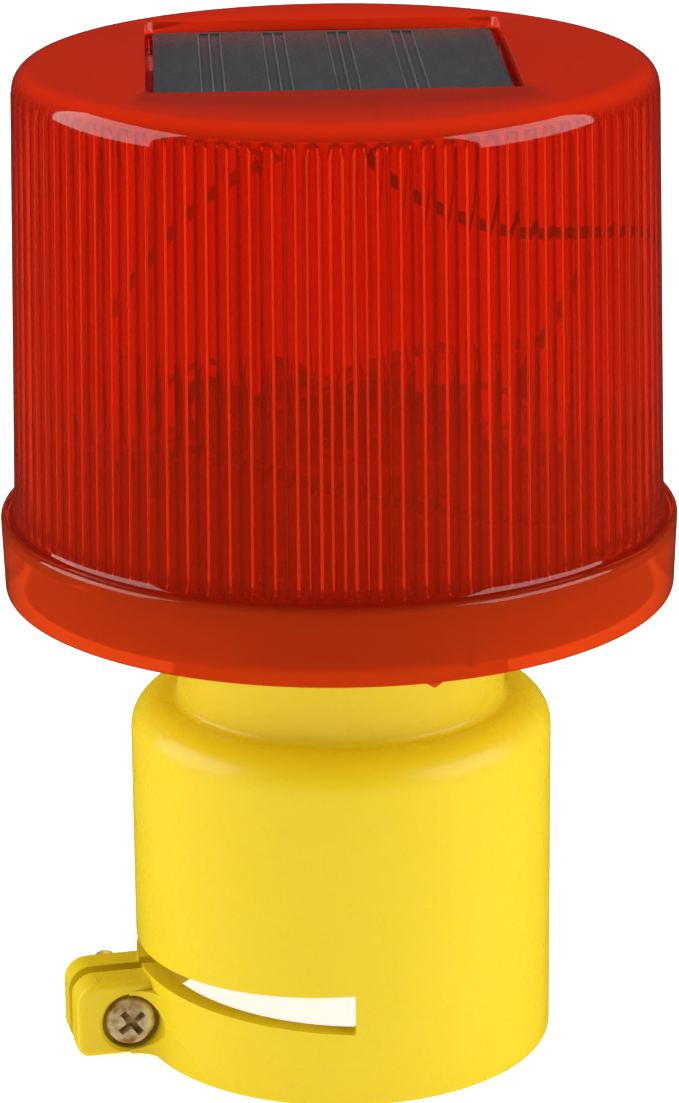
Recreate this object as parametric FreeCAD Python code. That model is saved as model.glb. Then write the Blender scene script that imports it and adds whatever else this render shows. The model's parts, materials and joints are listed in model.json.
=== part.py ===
import FreeCAD, Part
import math
import os

from FreeCAD import Vector

# Solar barricade warning light: a ribbed red lens with a solar panel in its top locks on a yellow
# lamp base. Under the base is a collar that slips on a traffic cone or post, and a split ring round
# the collar's mouth clamps it there.
#
# Frame: +Z up, origin at the bottom centre of the clamp ring, millimetres. The split of the ring
# points along -X and the head of the clamp bolt faces -Y.

# ---------------------------------------------------------------- driving dimensions
OVERALL_H = 150.0
SKIRT_R = 50.0  # outer radius of the lens skirt, the widest part
BORE_R = 28.5  # the ring clamps a cone top or post of this radius
COLLAR_WALL = 3.1
RING_H = 11.6  # height of the split ring at the closed end of its slot
SLOT_H = 6.2  # height of the slot at its closed end
COLLAR_TOP_Z = 54.0
NECK_R = 24.5
PLATE_Z = 73.0  # underside of the base plate, on top of the neck

COLLAR_R = BORE_R + COLLAR_WALL
BORE_DEPTH = 40.0  # a ledge above the bore stops the post short of the switch
LEDGE_R = 26.0
SOCKET_DEPTH = COLLAR_TOP_Z - 5.5
FLOOR_T = 3.0  # floor between the socket and the hollow neck
NECK_WALL = 2.5
NECK_IN_R = NECK_R - NECK_WALL
FLOOR_TOP_Z = SOCKET_DEPTH + FLOOR_T

# slot and ears of the clamp ring
SLOT_END_X = 1.8
SLOT_DROP = 1.6  # the slot's upper edge comes down by this much towards the ears
SLOT_RISE = 1.7  # and its lower edge goes up by this much
EAR_TURN = 193.0  # direction of the ring's split, degrees from +X
EAR_END = 42.4  # from the bore's axis to the ears' tips
EAR_BOTTOM_Z = 0.8
EAR_TOP_Z = 12.5
EAR_T = 5.0
EAR_GAP = 2.4
EAR_ROOT_R = 4.5
EAR_FACE = EAR_GAP / 2 + EAR_T
BOLT_RHO = 34.2
BOLT_Z = 5.95

# clamp bolt and nut, M4
BOLT_R = 2.0
BOLT_PITCH = 0.7
BOLT_LEN = 22.0
HEAD_R = 3.75
HEAD_H = 2.5
HEAD_RECESS_R = 4.4
HEAD_RECESS = 2.2
NUT_FLATS = 7.0
NUT_T = 3.2
NUT_POCKET = 1.6
HOLE_CLEAR = 0.08
SEAT_GAP = 0.03  # left under the head and the nut

# lens
SKIRT_BOTTOM_Z = 72.0
SKIRT_TOP_Z = 83.6
SKIRT_IN_R = 48.4
BODY_R_LOW = 48.0  # lens wall at the skirt
BODY_R_TOP = 46.5  # lens wall at the shoulder
SHOULDER_R = 3.6
LEDGE_Z = 81.6  # underside of the ledge that meets the seal
LENS_WALL = 2.6
TOP_T = 2.4
RIB_COUNT = 96
RIB_DEPTH = 0.75
RIB_SHARE = 0.55  # share of the pitch that a rib takes
RIB_TOP_Z = 147.0

# solar panel in its pocket
PANEL_X = 50.6
PANEL_Y = 49.6
PANEL_T = 2.0
PANEL_AT = (-1.0, 5.0)  # the panel sits a little behind the lens's middle
PANEL_TURN = 2.5
PANEL_SINK = 1.6
PAD_T = 0.6
POCKET_GAP = 1.1
POCKET_WALL = 1.8
POCKET_FLOOR = 1.6
PANEL_TOP_Z = OVERALL_H - PANEL_SINK
POCKET_Z = PANEL_TOP_Z - PANEL_T - PAD_T
CELL_T = 0.3
CELL_GAPS = 4
FIRST_GAP = 8.4  # from the panel's left edge to the first gap between cell strips
GAP_PITCH = 9.6
TAB_STEP = 1.65  # a gap holds three tabs this far apart
TAB_W = 0.25
WIRE_HOLE_R = 4.5

# base plate
PLATE_T = 2.5
RIM_OUT_R = 46.2
RIM_IN_R = 44.4
RIM_TOP_Z = 79.6
SEAL_T = 1.7

# bayonet: short ridges on the plate's rim, and lugs in the skirt that sit between them
RIDGE_R = 47.6
RIDGE_STEP = 2.2
RIDGE_COUNT = 3
RIDGE_ARC = 37.0
LUG_R = 46.9
LUG_ARC = 30.0
LOCK_TURN = -89.0
LOCK_COUNT = 3
STOP_TURN = -68.0

PLATE_TOP_Z = PLATE_Z + PLATE_T

# fixings inside
BOSS_PLACES = [(9.6, 16.6), (-9.6, 16.6), (-9.6, -16.6), (9.6, -16.6)]
BOSS_R = 3.6
PLATE_SCREW_R = 1.45
PILLAR_PLACES = [(0.0, 15.5), (0.0, -15.5)]
PILLAR_R = 3.0
BOARD_SCREW_R = 1.25
WIRE_PASS = (14.2, 11.0)
WIRE_PASS_R = 2.5

# circuit board
BOARD_R = 21.5
BOARD_Z = 94.0
BOARD_T = 1.6
BOARD_TOP_Z = BOARD_Z + BOARD_T
LED_COUNT = 6
LED_R = 2.5
LED_RHO = 12.4
LED_Z = BOARD_TOP_Z + 3.6

# battery, AA size, lying in its holder
CELL_R = 7.1
CELL_LEN = 48.6
HOLDER_X = 58.0
HOLDER_Y = 17.0
HOLDER_H = 11.5
HOLDER_WALL = 1.4
CELL_Z = PLATE_TOP_Z + HOLDER_WALL + CELL_R

# push switch in the floor of the socket
BUSHING_R = 4.9
SWITCH_R = 7.5
PLUNGER_R = 3.0
CAP_R = 4.4
SWITCH_TRAVEL = 1.7
SWITCH_TOP_Z = FLOOR_TOP_Z + 10.6

PANEL_WIRE_R = 0.8
THIN_WIRE_R = 0.5


# ---------------------------------------------------------------- helpers
def rounded_wire(corners, plane):
    """Closed wire through (a, b, radius) corners; plane turns (a, b) into a point."""
    count = len(corners)
    tangents = []
    for i, (a, b, radius) in enumerate(corners):
        here = Vector(a, b, 0)
        back = Vector(corners[i - 1][0], corners[i - 1][1], 0) - here
        ahead = Vector(corners[(i + 1) % count][0], corners[(i + 1) % count][1], 0) - here
        back.normalize()
        ahead.normalize()
        if radius <= 0:
            tangents.append((here, None, here))
            continue
        half = back.getAngle(ahead) / 2
        reach = radius / math.tan(half)
        middle = (back + ahead).normalize() * (radius / math.sin(half) - radius)
        tangents.append((here + back * reach, here + middle, here + ahead * reach))
    edges = []
    for i, (start, middle, end) in enumerate(tangents):
        if middle is not None:
            edges.append(Part.Arc(plane(start), plane(middle), plane(end)).toShape())
        following = tangents[(i + 1) % count][0]
        if (following - end).Length > 1e-6:
            edges.append(Part.makeLine(plane(end), plane(following)))
    return Part.Wire(edges)


def in_xz(point):
    return Vector(point.x, 0, point.y)


def in_xy(point):
    return Vector(point.x, point.y, 0)


def revolved(corners, degrees=360.0):
    """Solid of revolution about Z from (radius, z, corner radius) corners."""
    face = Part.Face(rounded_wire(corners, in_xz))
    return face.revolve(Vector(0, 0, 0), Vector(0, 0, 1), degrees)


def prism(corners, z0, z1):
    """Upright prism from (x, y, corner radius) corners."""
    solid = Part.Face(rounded_wire(corners, in_xy)).extrude(Vector(0, 0, z1 - z0))
    solid.translate(Vector(0, 0, z0))
    return solid


def cylinder(radius, z0, z1, x=0.0, y=0.0):
    return Part.makeCylinder(radius, z1 - z0, Vector(x, y, z0))


def ring(outer, inner, z0, z1, x=0.0, y=0.0):
    return cylinder(outer, z0, z1, x, y).cut(cylinder(inner, z0 - 1, z1 + 1, x, y))


def slab(x0, x1, y0, y1, z0, z1):
    return Part.makeBox(x1 - x0, y1 - y0, z1 - z0, Vector(x0, y0, z0))


def rounded_slab(size_x, size_y, radius, z0, z1):
    x, y = size_x / 2, size_y / 2
    return prism([(-x, -y, radius), (x, -y, radius), (x, y, radius), (-x, y, radius)], z0, z1)


def turned(shape, degrees, about=(0, 0, 1), at=(0, 0, 0)):
    shape.rotate(Vector(*at), Vector(*about), degrees)
    return shape


def moved(shape, x, y, z):
    shape.translate(Vector(x, y, z))
    return shape


def joined(shapes):
    solid = shapes[0]
    for shape in shapes[1:]:
        solid = solid.fuse(shape)
    return solid.removeSplitter()


def cross_recess(width, span, depth, z):
    """Phillips recess to be cut from a screw head whose top is at z."""
    arms = [slab(-span / 2, span / 2, -width / 2, width / 2, z - depth, z + 2)]
    arms.append(slab(-width / 2, width / 2, -span / 2, span / 2, z - depth, z + 2))
    centre = Part.makeCone(width * 0.4, width * 1.1, depth + 0.4, Vector(0, 0, z - depth))
    return arms[0].fuse(arms[1]).fuse(centre)


def pan_screw(head_r, head_h, shank_r, shank_len):
    """Pan-head screw standing on Z, the underside of its head at z = 0, tip downwards."""
    head = revolved([(0, 0, 0), (head_r, 0, 0.2), (head_r, head_h, head_h * 0.62), (0, head_h, 0)])
    head = head.cut(cross_recess(head_r * 0.27, head_r * 1.15, head_h * 0.6, head_h))
    tip = shank_r * 0.5
    shank = revolved([(0, -shank_len, 0), (shank_r - tip, -shank_len, 0),
                      (shank_r, -shank_len + tip, 0), (shank_r, 0.1, 0), (0, 0.1, 0)])
    return joined([head, shank])


def hexagon(flats, z0, z1):
    radius = flats / math.sqrt(3)
    corners = []
    for k in range(6):
        angle = math.radians(60 * k)
        corners.append((radius * math.cos(angle), radius * math.sin(angle), 0))
    return prism(corners, z0, z1)


def tube(points, radius):
    """Wire or lead along straight runs joined by tangent arcs as large as the runs allow."""
    points = [Vector(*p) for p in points]
    edges = []
    start = points[0]
    for before, here, after in zip(points, points[1:], points[2:]):
        into, out = here - before, after - here
        reach = 0.45 * min(into.Length, out.Length)
        into.normalize()
        out.normalize()
        turn = into.getAngle(out)
        bend = reach / math.tan(turn / 2)
        middle = here + (out - into).normalize() * (bend / math.cos(turn / 2) - bend)
        edges.append(Part.makeLine(start, here - into * reach))
        edges.append(Part.Arc(here - into * reach, middle, here + out * reach).toShape())
        start = here + out * reach
        print(f"  bend radius {bend:.1f} mm, turn {math.degrees(turn):.0f} degrees")
    edges.append(Part.makeLine(start, points[-1]))
    path = Part.Wire(edges)
    first = points[1] - points[0]
    profile = Part.Wire([Part.makeCircle(radius, points[0], first)])
    solid = path.makePipeShell([profile], True, True)
    solid = Part.Solid(solid) if solid.ShapeType != "Solid" else solid
    print(f"  tube {path.Length:.1f} mm long, volume ratio "
          f"{solid.Volume / (math.pi * radius ** 2 * path.Length):.4f}")
    return solid


# ---------------------------------------------------------------- collar, clamp and neck
def clamp_ear(side):
    """One ear of the split ring, in the split's own frame; side is 1 in front, -1 behind."""
    outline = [(BORE_R - 1, EAR_BOTTOM_Z, 0), (EAR_END, EAR_BOTTOM_Z, 1.8), (EAR_END, EAR_TOP_Z, 3.4),
               (BORE_R - 1, EAR_TOP_Z, 0)]
    face = Part.Face(rounded_wire(outline, in_xz))
    ear = face.extrude(Vector(0, -EAR_T, 0))
    ear.translate(Vector(0, EAR_GAP / 2 + EAR_T, 0))
    outer = [e for e in ear.Edges if all(abs(v.Point.y - EAR_FACE) < 1e-4 for v in e.Vertexes)
             and max(v.Point.x for v in e.Vertexes) > COLLAR_R]
    ear = ear.makeFillet(0.9, outer)
    if side < 0:
        ear = ear.mirror(Vector(0, 0, 0), Vector(0, 1, 0))
    return ear


def ear_root(side, radius):
    """Rounded inner corner where an ear's outer face leaves the ring."""
    centre_y = EAR_FACE + radius
    centre_x = math.sqrt((COLLAR_R + radius) ** 2 - centre_y ** 2)
    centre = Vector(centre_x, centre_y, 0)
    on_ring = centre * (COLLAR_R / (COLLAR_R + radius))
    on_face = Vector(centre_x, EAR_FACE, 0)
    pull = (on_ring + on_face) * 0.5 - centre
    middle = centre + pull.normalize() * radius
    corner = Vector(BORE_R + 0.5, EAR_FACE - 1.0, 0)
    edges = [Part.Arc(on_face, middle, on_ring).toShape(), Part.makeLine(on_ring, corner),
             Part.makeLine(corner, on_face)]
    root = Part.Face(Part.Wire(edges)).extrude(Vector(0, 0, RING_H - 0.6 - EAR_BOTTOM_Z))
    root = moved(root, 0, 0, EAR_BOTTOM_Z)
    return root if side > 0 else root.mirror(Vector(0, 0, 0), Vector(0, 1, 0))


def along_bolt(shape):
    """Takes a shape standing on Z at the origin to the bolt's line, its +Z facing the bolt's head."""
    turned(shape, -90, (1, 0, 0))
    moved(shape, BOLT_RHO, 0, BOLT_Z)
    return turned(shape, EAR_TURN)


def make_mounting_collar():
    shell = revolved([
        (BORE_R, 0, 0.5), (COLLAR_R, 0, 0.9), (COLLAR_R, COLLAR_TOP_Z, 5.0),
        (NECK_R, COLLAR_TOP_Z, 0.9), (NECK_R, PLATE_Z, 0), (NECK_IN_R, PLATE_Z, 0),
        (NECK_IN_R, FLOOR_TOP_Z, 0), (0, FLOOR_TOP_Z, 0), (0, SOCKET_DEPTH, 0),
        (LEDGE_R, SOCKET_DEPTH, 1.0), (LEDGE_R, BORE_DEPTH, 0.4), (BORE_R, BORE_DEPTH, 0)])
    slot_out_x = -EAR_END - 2
    slot = Part.Face(rounded_wire([
        (SLOT_END_X, RING_H, 0.4), (SLOT_END_X, RING_H + SLOT_H, 0.4),
        (-COLLAR_R, RING_H + SLOT_H - SLOT_DROP, 0), (slot_out_x, RING_H + SLOT_H - SLOT_DROP, 0),
        (slot_out_x, RING_H + SLOT_RISE, 0), (-COLLAR_R, RING_H + SLOT_RISE, 0)], in_xz))
    slot = moved(slot.extrude(Vector(0, 80, 0)), 0, -40, 0)
    shell = shell.cut(slot)
    ears = []
    for side in (1, -1):
        ears.append(turned(clamp_ear(side), EAR_TURN))
        ears.append(turned(ear_root(side, EAR_ROOT_R), EAR_TURN))
    bore = cylinder(BORE_R, -1, RING_H + 1)
    ears = [ear.cut(bore) for ear in ears]
    body = joined([shell] + ears)
    split = slab(BORE_R - 4, EAR_END + 2, -EAR_GAP / 2, EAR_GAP / 2, -1, RING_H + SLOT_RISE + 1)
    body = body.cut(turned(split, EAR_TURN))
    body = body.cut(along_bolt(cylinder(BOLT_R + HOLE_CLEAR, -20, 20)))
    recess = cylinder(HEAD_RECESS_R, EAR_FACE - HEAD_RECESS, EAR_FACE + 4)
    flare = Part.makeCone(HEAD_RECESS_R, HEAD_RECESS_R + 0.5, 0.5, Vector(0, 0, EAR_FACE - 0.5))
    body = body.cut(along_bolt(recess)).cut(along_bolt(flare))
    pocket = hexagon(NUT_FLATS + 0.3, -EAR_FACE - 4, -EAR_FACE + NUT_POCKET)
    body = body.cut(along_bolt(turned(pocket, 30)))
    bosses = []
    for x, y in BOSS_PLACES:
        boss = cylinder(BOSS_R, FLOOR_TOP_Z - 0.5, PLATE_Z, x, y)
        bosses.append(boss.common(cylinder(NECK_IN_R + 1.0, 0, OVERALL_H)))
    body = joined([body] + bosses)
    for x, y in BOSS_PLACES:
        body = body.cut(cylinder(PLATE_SCREW_R, PLATE_Z - 14, PLATE_Z + 1, x, y))
    return body.cut(cylinder(BUSHING_R + 0.1, 0, FLOOR_TOP_Z + 1))


def make_clamp_bolt():
    head = revolved([(0, 0, 0), (HEAD_R, 0, 0.25), (HEAD_R, HEAD_H, 1.3), (0, HEAD_H, 0)])
    head = head.cut(turned(cross_recess(1.05, 4.6, 1.6, HEAD_H), 38))
    corners = [(0, 0.1, 0), (0, -BOLT_LEN, 0), (BOLT_R - 0.6, -BOLT_LEN, 0)]
    root = BOLT_R - 0.3
    z = -BOLT_LEN + 0.6
    while z < -2.5:
        corners.append((BOLT_R, z, 0))
        corners.append((root, z + BOLT_PITCH / 2, 0))
        z += BOLT_PITCH
    corners.append((BOLT_R, z, 0))
    corners.append((BOLT_R, 0.1, 0))
    bolt = joined([head, revolved(corners)])
    return along_bolt(moved(bolt, 0, 0, EAR_FACE - HEAD_RECESS + SEAT_GAP))


def make_clamp_nut():
    start = -EAR_FACE + NUT_POCKET - NUT_T - SEAT_GAP
    nut = hexagon(NUT_FLATS, start, start + NUT_T)
    trim = revolved([(0, start, 0), (NUT_FLATS / 2 + 0.1, start, 0), (NUT_FLATS * 0.62, start + 0.45, 0),
                     (NUT_FLATS * 0.62, start + NUT_T, 0), (0, start + NUT_T, 0)])
    nut = nut.common(trim).cut(cylinder(BOLT_R + 0.05, start - 1, start + NUT_T + 1))
    return along_bolt(turned(nut, 30))


# ---------------------------------------------------------------- lens
def body_radius(z):
    """Outer radius of the tapering lens wall at height z."""
    share = (z - SKIRT_TOP_Z) / (OVERALL_H - SKIRT_TOP_Z)
    return BODY_R_LOW + (BODY_R_TOP - BODY_R_LOW) * share


def ribbed_outline(valley_r, z):
    """Inner outline of the ribbed wall: half-round ribs standing inwards from a circle."""
    pitch = 2 * math.pi / RIB_COUNT
    edges = []

    def at(radius, angle):
        return Vector(radius * math.cos(angle), radius * math.sin(angle), z)

    for k in range(RIB_COUNT):
        start = k * pitch
        end = start + pitch * RIB_SHARE
        crest = at(valley_r - RIB_DEPTH, (start + end) / 2)
        edges.append(Part.Arc(at(valley_r, start), crest, at(valley_r, end)).toShape())
        edges.append(Part.Arc(at(valley_r, end), at(valley_r, (end + start + pitch) / 2),
                              at(valley_r, start + pitch)).toShape())
    return Part.Wire(edges)


def on_panel(shape):
    """Takes a shape centred on Z to the panel's place in the lens's top."""
    return moved(turned(shape, PANEL_TURN), *PANEL_AT, 0)


def make_lens():
    outside = revolved([
        (0, SKIRT_BOTTOM_Z, 0), (SKIRT_R - 0.4, SKIRT_BOTTOM_Z, 0.5), (SKIRT_R, SKIRT_TOP_Z, 0.8),
        (BODY_R_LOW, SKIRT_TOP_Z, 0.5), (BODY_R_TOP, OVERALL_H, SHOULDER_R), (0, OVERALL_H, 0)])
    under_skirt = revolved([(0, SKIRT_BOTTOM_Z - 1, 0), (SKIRT_IN_R, SKIRT_BOTTOM_Z - 1, 0),
                            (SKIRT_IN_R, LEDGE_Z, 0.4), (0, LEDGE_Z, 0)])
    low_r = body_radius(LEDGE_Z) - LENS_WALL
    high_r = body_radius(RIB_TOP_Z) - LENS_WALL
    ribbed = Part.makeLoft([ribbed_outline(low_r, LEDGE_Z - 0.5),
                            ribbed_outline(high_r, RIB_TOP_Z)], True, True)
    roof_z = OVERALL_H - TOP_T
    above_ribs = revolved([(0, RIB_TOP_Z - 0.5, 0), (high_r, RIB_TOP_Z - 0.5, 0), (high_r, roof_z, 1.0),
                           (0, roof_z, 0)])
    lens = outside.cut(under_skirt).cut(ribbed).cut(above_ribs)
    pocket_x, pocket_y = PANEL_X + 2 * POCKET_GAP, PANEL_Y + 2 * POCKET_GAP
    tray = rounded_slab(pocket_x + 2 * POCKET_WALL, pocket_y + 2 * POCKET_WALL, 2.5,
                        POCKET_Z - POCKET_FLOOR, roof_z + 0.5)
    lens = joined([lens, on_panel(tray)])
    pocket = rounded_slab(pocket_x, pocket_y, 1.2, POCKET_Z, OVERALL_H + 1)
    lens = lens.cut(on_panel(pocket)).cut(cylinder(WIRE_HOLE_R, 130, OVERALL_H))
    stop = turned(slab(LUG_R, SKIRT_IN_R + 0.5, -0.5, 0.5, PLATE_Z + 0.6, LEDGE_Z + 0.1), STOP_TURN)
    tab = Part.Face(rounded_wire([(-1.6, 0.6, 0), (0, -0.7, 0.3), (1.6, 0.6, 0)], in_xz))
    tab = moved(tab.extrude(Vector(0, 1.0, 0)), 0, -SKIRT_R + 0.5, SKIRT_BOTTOM_Z)
    return joined([lens, stop, turned(tab, 15.3)] + skirt_lugs())


def round_the_lock(shape):
    return [turned(shape.copy(), LOCK_TURN + k * 360 / LOCK_COUNT) for k in range(LOCK_COUNT)]


def skirt_lugs():
    """Lugs on the inside of the skirt, one row in each space between the plate's ridges."""
    lugs = []
    for k in range(RIDGE_COUNT - 1):
        z = PLATE_Z + 1.5 + (k + 0.5) * RIDGE_STEP
        lug = revolved([(LUG_R, z - 0.3, 0), (SKIRT_IN_R + 0.4, z - 0.5, 0), (SKIRT_IN_R + 0.4, z + 0.5, 0),
                        (LUG_R, z + 0.3, 0)], LUG_ARC)
        lugs += round_the_lock(turned(lug, -LUG_ARC / 2))
    return lugs


def plate_ridges():
    ridges = []
    for k in range(RIDGE_COUNT):
        z = PLATE_Z + 1.5 + k * RIDGE_STEP
        ridge = revolved([(RIM_OUT_R - 0.4, z - 0.55, 0), (RIDGE_R, z - 0.2, 0), (RIDGE_R, z + 0.2, 0),
                          (RIM_OUT_R - 0.4, z + 0.55, 0)], RIDGE_ARC)
        ridges += round_the_lock(turned(ridge, -RIDGE_ARC / 2))
    return ridges


def make_lens_seal():
    return ring(RIM_OUT_R - 0.1, RIM_IN_R + 0.1, RIM_TOP_Z, RIM_TOP_Z + SEAL_T)


# ---------------------------------------------------------------- solar panel
def make_solar_panel():
    """Resin-cast panel with its five cell strips let into the top."""
    panel = rounded_slab(PANEL_X, PANEL_Y, 1.2, PANEL_TOP_Z - PANEL_T, PANEL_TOP_Z)
    panel = panel.cut(cell_area(0.0))
    return on_panel(panel)


def cell_area(clearance):
    x, y = cell_span()
    return slab(-x - clearance, x + clearance, -y - clearance, y + clearance,
                PANEL_TOP_Z - CELL_T, PANEL_TOP_Z + 1)


def cell_span():
    return PANEL_X / 2 - 1.0, PANEL_Y / 2 - 1.0


def gap_middles():
    return [-PANEL_X / 2 + FIRST_GAP + k * GAP_PITCH for k in range(CELL_GAPS)]


def make_solar_cells():
    """Strips side by side, with a gap between neighbours for the tabs."""
    x, y = cell_span()
    half_gap = TAB_STEP + TAB_W / 2 + 0.05
    left = -x
    cells = []
    for right in [middle - half_gap for middle in gap_middles()] + [x]:
        cells.append(slab(left, right, -y, y, PANEL_TOP_Z - CELL_T, PANEL_TOP_Z))
        left = right + 2 * half_gap
    return on_panel(Part.makeCompound(cells))


def make_cell_tabs():
    """Silver tabs in the gaps between neighbouring strips."""
    x, y = cell_span()
    tabs = []
    for middle in gap_middles():
        for step in (-TAB_STEP, 0, TAB_STEP):
            tabs.append(slab(middle + step - TAB_W / 2, middle + step + TAB_W / 2, -y + 0.3, y - 0.3,
                             PANEL_TOP_Z - CELL_T, PANEL_TOP_Z))
    return on_panel(Part.makeCompound(tabs))


def make_panel_pad():
    """Foam tape that holds the panel in its pocket, open in the middle for the leads."""
    pad = rounded_slab(PANEL_X - 3, PANEL_Y - 3, 1.0, POCKET_Z, POCKET_Z + PAD_T)
    return on_panel(pad.cut(rounded_slab(16, 16, 2.0, POCKET_Z - 1, POCKET_Z + 2)))


# ---------------------------------------------------------------- base plate and screws
def make_base_plate():
    plate = revolved([(0, PLATE_Z, 0), (RIM_OUT_R, PLATE_Z, 0.4), (RIM_OUT_R, RIM_TOP_Z, 0.3),
                      (RIM_IN_R, RIM_TOP_Z, 0.3), (RIM_IN_R, PLATE_TOP_Z, 1.0), (0, PLATE_TOP_Z, 0)])
    pillars = [cylinder(PILLAR_R, PLATE_TOP_Z - 0.5, BOARD_Z, x, y) for x, y in PILLAR_PLACES]
    lip = ring(NECK_IN_R - 0.3, NECK_IN_R - 1.9, PLATE_Z - 3, PLATE_Z + 0.5)
    for x, y in BOSS_PLACES:
        lip = lip.cut(cylinder(BOSS_R + 0.4, PLATE_Z - 4, PLATE_Z, x, y))
    plate = joined([plate, lip] + pillars + plate_ridges())
    for x, y in BOSS_PLACES:
        plate = plate.cut(cylinder(PLATE_SCREW_R + 0.2, PLATE_Z - 5, PLATE_Z + 5, x, y))
    for x, y in PILLAR_PLACES:
        plate = plate.cut(cylinder(BOARD_SCREW_R, BOARD_Z - 9, BOARD_Z + 1, x, y))
    return plate.cut(cylinder(WIRE_PASS_R, PLATE_Z - 4, PLATE_TOP_Z + 1, *WIRE_PASS))


def make_plate_screws():
    screws = [moved(pan_screw(2.75, 1.9, PLATE_SCREW_R, 13), x, y, PLATE_TOP_Z) for x, y in BOSS_PLACES]
    return Part.makeCompound(screws)


def make_board_screws():
    screws = [moved(pan_screw(2.4, 1.6, BOARD_SCREW_R, 8), x, y, BOARD_TOP_Z) for x, y in PILLAR_PLACES]
    return Part.makeCompound(screws)


# ---------------------------------------------------------------- battery
def make_battery_holder():
    x, y = HOLDER_X / 2, HOLDER_Y / 2
    holder = rounded_slab(HOLDER_X, HOLDER_Y, 1.0, PLATE_TOP_Z, PLATE_TOP_Z + HOLDER_H)
    hollow = slab(-x + HOLDER_WALL, x - HOLDER_WALL, -y + HOLDER_WALL - 0.2, y - HOLDER_WALL + 0.2,
                  PLATE_TOP_Z + HOLDER_WALL, PLATE_TOP_Z + HOLDER_H + 1)
    dip = slab(-9, 9, -y - 1, y + 1, PLATE_TOP_Z + 7.5, PLATE_TOP_Z + HOLDER_H + 1)
    return holder.cut(hollow).cut(dip)


def make_battery_cell():
    """AA cell: can, shoulder and positive cap, its positive end to +X."""
    cell = revolved([(0, 0, 0), (CELL_R, 0, 0.6), (CELL_R, CELL_LEN, 0.9), (2.8, CELL_LEN, 0),
                     (2.8, CELL_LEN + 1.2, 0.3), (0, CELL_LEN + 1.2, 0)])
    turned(cell, 90, (0, 1, 0))
    return moved(cell, HOLDER_X / 2 - HOLDER_WALL - 0.5 - CELL_LEN - 1.2, 0, CELL_Z)


def contact_tab(x, outwards):
    """Contact plate against the holder's end wall, with a solder tail over the wall's top."""
    plate = slab(x, x + 0.5, -4, 4, CELL_Z - 4, PLATE_TOP_Z + HOLDER_H + 0.5)
    reach = HOLDER_WALL + 1.2
    near, far = (x, x + 0.5 + reach) if outwards > 0 else (x - reach, x + 0.5)
    tail = slab(near, far, -1.5, 1.5, PLATE_TOP_Z + HOLDER_H, PLATE_TOP_Z + HOLDER_H + 0.5)
    return joined([plate, tail])


def make_battery_contacts():
    end = HOLDER_X / 2 - HOLDER_WALL
    return Part.makeCompound([contact_tab(end - 0.5, 1), contact_tab(-end, -1)])


def make_battery_spring():
    wire_r = 0.35
    end = -HOLDER_X / 2 + HOLDER_WALL + 0.5
    cell_end = HOLDER_X / 2 - HOLDER_WALL - 0.5 - CELL_LEN - 1.2
    length = cell_end - end - 2 * wire_r
    coil_r = 3.2
    pitch = length / 3
    path = Part.makeHelix(pitch, length, coil_r)
    along = Vector(0, 2 * math.pi * coil_r, pitch)
    profile = Part.Wire([Part.makeCircle(wire_r, Vector(coil_r, 0, 0), along)])
    spring = Part.Wire(path).makePipeShell([profile], True, True)
    turned(spring, 90, (0, 1, 0))
    return moved(spring, end + wire_r, 0, CELL_Z)


# ---------------------------------------------------------------- circuit board
def make_circuit_board():
    board = cylinder(BOARD_R, BOARD_Z, BOARD_TOP_Z)
    for x, y in PILLAR_PLACES:
        board = board.cut(cylinder(BOARD_SCREW_R + 0.1, BOARD_Z - 1, BOARD_TOP_Z + 1, x, y))
    return board


def led_turn(index):
    return index * 360 / LED_COUNT


def make_led_lamps():
    """Round lamps lying flat and facing outwards, evenly spaced round the board."""
    lamps = []
    for k in range(LED_COUNT):
        lamp = revolved([(0, 0, 0), (LED_R + 0.4, 0, 0), (LED_R + 0.4, 1.0, 0), (LED_R, 1.0, 0),
                         (LED_R, 8.6, LED_R - 0.1), (0, 8.6, 0)])
        turned(lamp, 90, (0, 1, 0))
        lamps.append(turned(moved(lamp, LED_RHO, 0, LED_Z), led_turn(k)))
    return Part.makeCompound(lamps)


def make_led_legs():
    """Two legs a lamp, bent down into the board."""
    legs = []
    for k in range(LED_COUNT):
        for y in (-1.27, 1.27):
            back = slab(LED_RHO - 2.0, LED_RHO, y - 0.25, y + 0.25, LED_Z - 0.25, LED_Z + 0.25)
            down = slab(LED_RHO - 2.0, LED_RHO - 1.5, y - 0.25, y + 0.25, BOARD_TOP_Z, LED_Z + 0.25)
            legs.append(turned(joined([back, down]), led_turn(k)))
    return Part.makeCompound(legs)


def make_driver_chip():
    chip = moved(rounded_slab(4.9, 3.9, 0.3, BOARD_TOP_Z + 0.3, BOARD_TOP_Z + 1.8), -2.5, -5.6, 0)
    pins = []
    for k in range(4):
        x = -2.5 + (k - 1.5) * 1.27
        pins.append(slab(x - 0.2, x + 0.2, -5.6 - 3.0, -5.6 + 3.0, BOARD_TOP_Z, BOARD_TOP_Z + 0.45))
    return joined([chip] + pins)


def make_inductor():
    """Ferrite drum with its winding."""
    drum = revolved([(0, 0, 0), (3.6, 0, 0.2), (3.6, 1.0, 0), (2.9, 1.0, 0), (2.9, 4.6, 0), (3.6, 4.6, 0),
                     (3.6, 5.6, 0.2), (0, 5.6, 0)])
    return moved(drum, 4.6, 2.2, BOARD_TOP_Z)


def make_capacitor():
    can = revolved([(0, 0, 0), (2.5, 0, 0.2), (2.5, 1.0, 0.2), (2.3, 1.3, 0.2), (2.5, 1.6, 0.2),
                    (2.5, 7.0, 0.4), (0, 7.0, 0)])
    return moved(can, -4.6, 2.6, BOARD_TOP_Z)


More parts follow.
